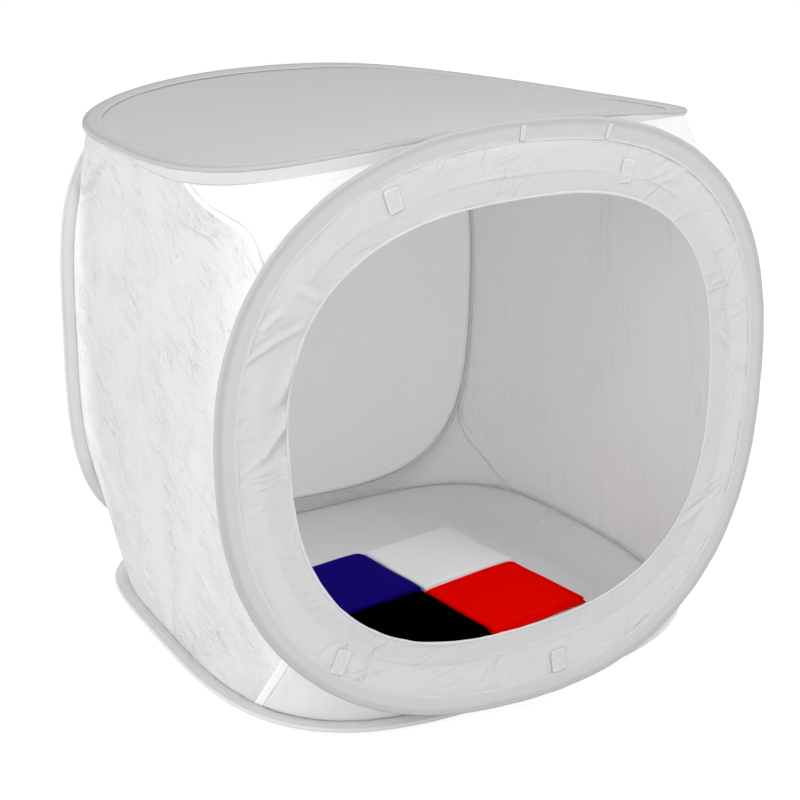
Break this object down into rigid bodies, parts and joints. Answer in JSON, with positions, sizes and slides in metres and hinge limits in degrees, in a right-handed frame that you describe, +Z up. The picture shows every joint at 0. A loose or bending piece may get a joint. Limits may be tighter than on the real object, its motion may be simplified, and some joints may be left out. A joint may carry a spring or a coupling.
{
  "type": "light tent cube",
  "caption": "Pop-up cube of white diffusing cloth on sprung wire hoops, open at the front, with folded backdrop cloths on its floor; it folds flat about its lower edges.",
  "frame": {"origin": "on the ground, at the centre of the outline's box seen from above", "axes": "+Z up, -Y out through the doorway, +X to the right of someone looking in"},
  "size_m": [0.608, 0.5974, 0.6099],
  "materials": {
    "spring_steel": "spring steel wire, dull",
    "sleeve_cloth": "matt woven binding cloth",
    "white_cloth": "translucent white nylon, fine weave",
    "white_tape": "woven white tape",
    "grip_tape": "hook-and-loop tape, white",
    "blue_cloth": "matt dark blue cloth",
    "white_backdrop_cloth": "matt white cloth",
    "black_cloth": "matt black cloth",
    "red_cloth": "matt red cloth"
  },
  "bodies": {
    "floor_frame": {"bottom_hoop_wire": "spring_steel", "bottom_hoop_ferrule": "spring_steel", "bottom_hoop_sleeve": "sleeve_cloth", "bottom_panel": "white_cloth", "left_side_panel": "white_cloth", "right_side_panel": "white_cloth", "front_bottom_hinge_tape": "white_tape", "front_bottom_left_gusset": "white_cloth", "front_bottom_left_seam_tape": "white_tape", "front_bottom_right_gusset": "white_cloth", "front_bottom_right_seam_tape": "white_tape", "back_bottom_hinge_tape": "white_tape", "back_bottom_left_gusset": "white_cloth", "back_bottom_left_seam_tape": "white_tape", "back_bottom_right_gusset": "white_cloth", "back_bottom_right_seam_tape": "white_tape"},
    "front_frame": {"front_hoop_wire": "spring_steel", "front_hoop_ferrule": "spring_steel", "front_hoop_sleeve": "sleeve_cloth", "front_border": "white_cloth", "doorway_facing": "white_tape", "doorway_binding": "white_tape", "cover_tab_lower_right": "grip_tape", "cover_tab_upper_right": "grip_tape", "cover_tab_upper_left": "grip_tape", "cover_tab_lower_left": "grip_tape", "front_top_hinge_tape": "white_tape", "front_top_left_gusset": "white_cloth", "front_top_left_seam_tape": "white_tape", "front_top_right_gusset": "white_cloth", "front_top_right_seam_tape": "white_tape"},
    "back_frame": {"back_hoop_wire": "spring_steel", "back_hoop_ferrule": "spring_steel", "back_hoop_sleeve": "sleeve_cloth", "back_panel": "white_cloth", "backdrop_loop_strip": "grip_tape", "back_top_hinge_tape": "white_tape", "back_top_left_gusset": "white_cloth", "back_top_left_seam_tape": "white_tape", "back_top_right_gusset": "white_cloth", "back_top_right_seam_tape": "white_tape"},
    "top_frame": {"top_hoop_wire": "spring_steel", "top_hoop_ferrule": "spring_steel", "top_hoop_sleeve": "sleeve_cloth", "top_panel": "white_cloth"},
    "blue_backdrop": {"blue_backdrop": "blue_cloth"},
    "white_backdrop": {"white_backdrop": "white_backdrop_cloth"},
    "black_backdrop": {"black_backdrop": "black_cloth"},
    "red_backdrop": {"red_backdrop": "red_cloth"}
  },
  "joints": [
    {"name": "back_fold", "type": "hinge", "parent": "floor_frame", "child": "back_frame", "pos_m": [0, 0.295, 0.0042], "axis": [-1, 0, 0], "range_deg": [0, 88], "stiffness_Nm_per_rad": 6, "springref_deg": -8.59, "deforming": ["left_side_panel", "right_side_panel", "back_bottom_hinge_tape", "back_bottom_left_gusset", "back_bottom_left_seam_tape", "back_bottom_right_gusset", "back_bottom_right_seam_tape", "back_top_hinge_tape", "back_top_left_gusset", "back_top_left_seam_tape", "back_top_right_gusset", "back_top_right_seam_tape"]},
    {"name": "front_fold", "type": "hinge", "parent": "floor_frame", "child": "front_frame", "pos_m": [0, -0.295, 0.0198], "axis": [-1, 0, 0], "range_deg": [0, 88], "deforming": ["front_bottom_hinge_tape", "front_bottom_left_gusset", "front_bottom_left_seam_tape", "front_bottom_right_gusset", "front_bottom_right_seam_tape"]},
    {"name": "top_fold", "type": "hinge", "parent": "front_frame", "child": "top_frame", "pos_m": [0, -0.295, 0.5964], "axis": [1, 0, 0], "range_deg": [0, 88], "deforming": ["front_top_hinge_tape", "front_top_left_gusset", "front_top_left_seam_tape", "front_top_right_gusset", "front_top_right_seam_tape"]},
    {"name": "blue_backdrop_lift", "type": "slide", "parent": "floor_frame", "child": "blue_backdrop", "axis": [0, 0, 1], "range_m": [0, 0.06]},
    {"name": "white_backdrop_lift", "type": "slide", "parent": "floor_frame", "child": "white_backdrop", "axis": [0, 0, 1], "range_m": [0, 0.06]},
    {"name": "black_backdrop_lift", "type": "slide", "parent": "floor_frame", "child": "black_backdrop", "axis": [0, 0, 1], "range_m": [0, 0.06]},
    {"name": "red_backdrop_lift", "type": "slide", "parent": "floor_frame", "child": "red_backdrop", "axis": [0, 0, 1], "range_m": [0, 0.06]}
  ],
  "couplings": [
    {"joint": "front_fold", "follows": "back_fold", "ratio": 1},
    {"joint": "top_fold", "follows": "back_fold", "ratio": 1}
  ]
}
